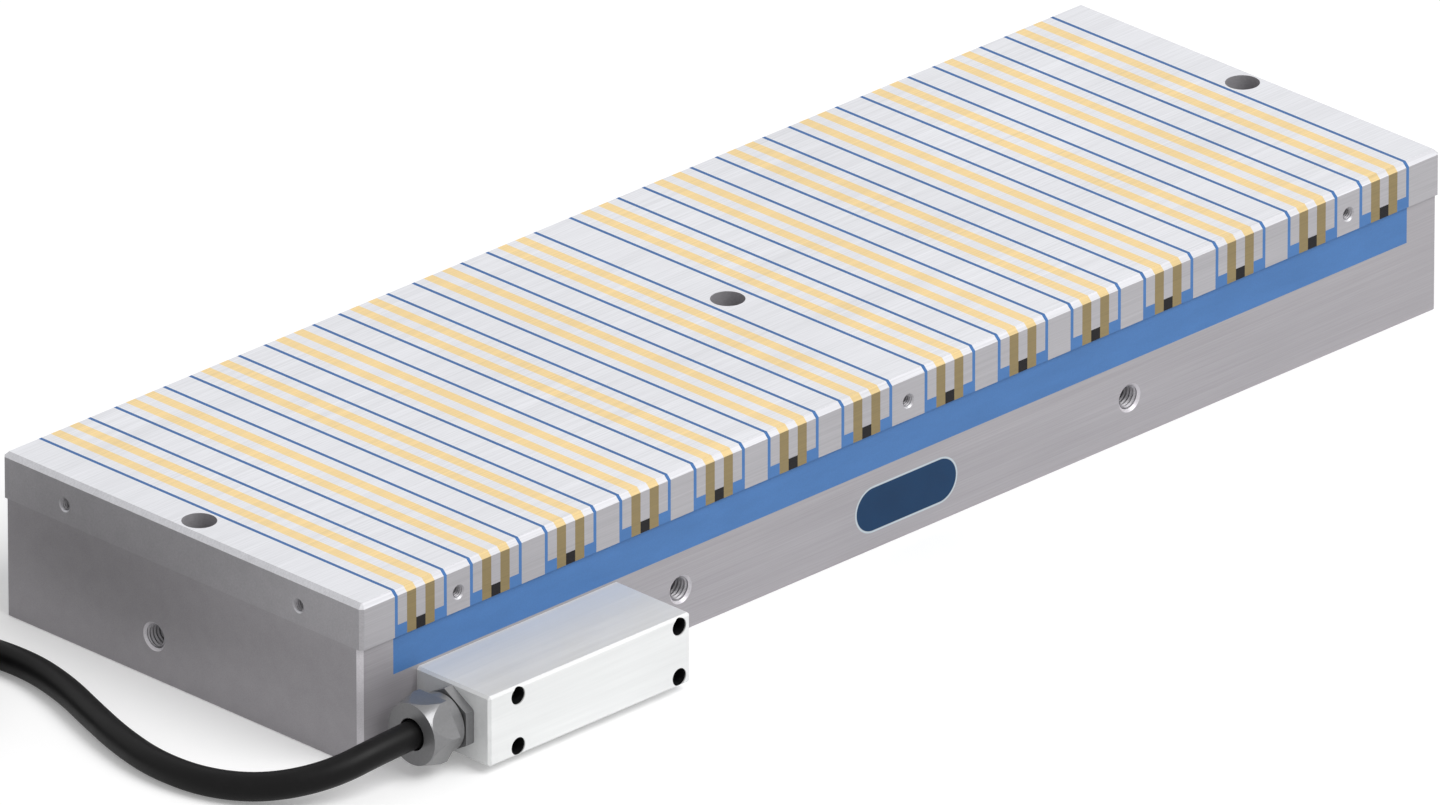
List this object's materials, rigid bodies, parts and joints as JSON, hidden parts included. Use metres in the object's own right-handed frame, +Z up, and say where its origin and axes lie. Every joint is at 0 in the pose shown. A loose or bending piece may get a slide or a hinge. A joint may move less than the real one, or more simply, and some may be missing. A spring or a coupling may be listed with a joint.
{
  "type": "magnetic chuck",
  "caption": "Rectangular electro-permanent magnetic chuck with a fine transverse pole plate, a connection box on its front and a cable with a round connector.",
  "frame": {"origin": "middle of the underside of the base, on the axis of the middle hold-down hole", "axes": "+X along the length, away from the cable; +Y from the front, which carries the connection box, to the back; +Z up, out of the work face"},
  "size_m": [0.8102, 0.3333, 0.07],
  "materials": {
    "ground_steel": "ground and lightly oiled",
    "pole_steel": "surface ground along the length",
    "brass": "surface ground with the plate",
    "ferrite": "dark, dense and matte",
    "blue_resin": "cast epoxy, ground flush",
    "alnico": "cast and ground",
    "copper_winding": "enamelled copper wire",
    "stainless": "turned",
    "black_steel": "black oxide",
    "navy_plate": "anodised navy, thin bright rim",
    "milled_aluminium": "fine milled, clear anodised",
    "black_rubber": "matte",
    "terminal_plastic": "moulded",
    "wire_insulation": "extruded",
    "nickel": "nickel-plated brass, satin",
    "cable_sheath": "smooth black sheath",
    "insulator": "moulded",
    "gold_pins": "gold flash"
  },
  "bodies": {
    "chuck": {"base_body": "ground_steel", "end_pole_left": "pole_steel", "end_pole_right": "pole_steel", "pole_bar_01": "pole_steel", "pole_bar_02": "pole_steel", "pole_bar_03": "pole_steel", "pole_bar_04": "pole_steel", "pole_bar_05": "pole_steel", "pole_bar_06": "pole_steel", "pole_bar_07": "pole_steel", "pole_bar_08": "pole_steel", "pole_bar_09": "pole_steel", "pole_bar_10": "pole_steel", "pole_bar_11": "pole_steel", "pole_bar_12": "pole_steel", "pole_bar_13": "pole_steel", "pole_strips_01": "pole_steel", "pole_strips_02": "pole_steel", "pole_strips_03": "pole_steel", "pole_strips_04": "pole_steel", "pole_strips_05": "pole_steel", "pole_strips_06": "pole_steel", "pole_strips_07": "pole_steel", "pole_strips_08": "pole_steel", "pole_strips_09": "pole_steel", "pole_strips_10": "pole_steel", "pole_strips_11": "pole_steel", "pole_strips_12": "pole_steel", "pole_strips_13": "pole_steel", "pole_strips_14": "pole_steel", "brass_spacers": "brass", "ferrite_bars": "ferrite", "resin_potting": "blue_resin", "alnico_magnets": "alnico", "switching_coils": "copper_winding", "centre_bush": "stainless", "plate_screws": "black_steel", "name_plate": "navy_plate", "connection_box": "milled_aluminium", "box_gasket": "black_rubber", "box_screws": "black_steel", "terminal_block": "terminal_plastic", "lead_wires": "wire_insulation", "cable_cores": "wire_insulation", "gland_body": "nickel", "gland_seal": "black_rubber", "cable_entry": "cable_sheath", "cable": "cable_sheath", "cable_coil": "cable_sheath", "cable_tail": "cable_sheath", "connector_back_nut": "nickel", "connector_shell": "nickel", "connector_insert": "insulator", "connector_pins": "gold_pins"},
    "thrust_ring": {"gland_thrust_ring": "nickel"},
    "cap_nut": {"gland_cap_nut": "nickel"},
    "coupling_ring": {"connector_ring": "nickel"}
  },
  "joints": [
    {"name": "thrust_ring_slide", "type": "slide", "parent": "chuck", "child": "thrust_ring", "axis": [-1, 0, 0], "range_m": [0, 0.0061]},
    {"name": "cap_nut_turn", "type": "hinge", "parent": "thrust_ring", "child": "cap_nut", "pos_m": [-0.28, -0.1185, 0.0185], "axis": [-1, 0, 0], "range_deg": [0, 1440]},
    {"name": "coupling_ring_turn", "type": "hinge", "parent": "chuck", "child": "coupling_ring", "pos_m": [-0.46548, 0.17326, 0.0375], "axis": [-0.9997, 0.0254, 0], "continuous": true}
  ],
  "couplings": [
    {"joint": "thrust_ring_slide", "follows": "cap_nut_turn", "m_per_rad": 0.00023873}
  ]
}
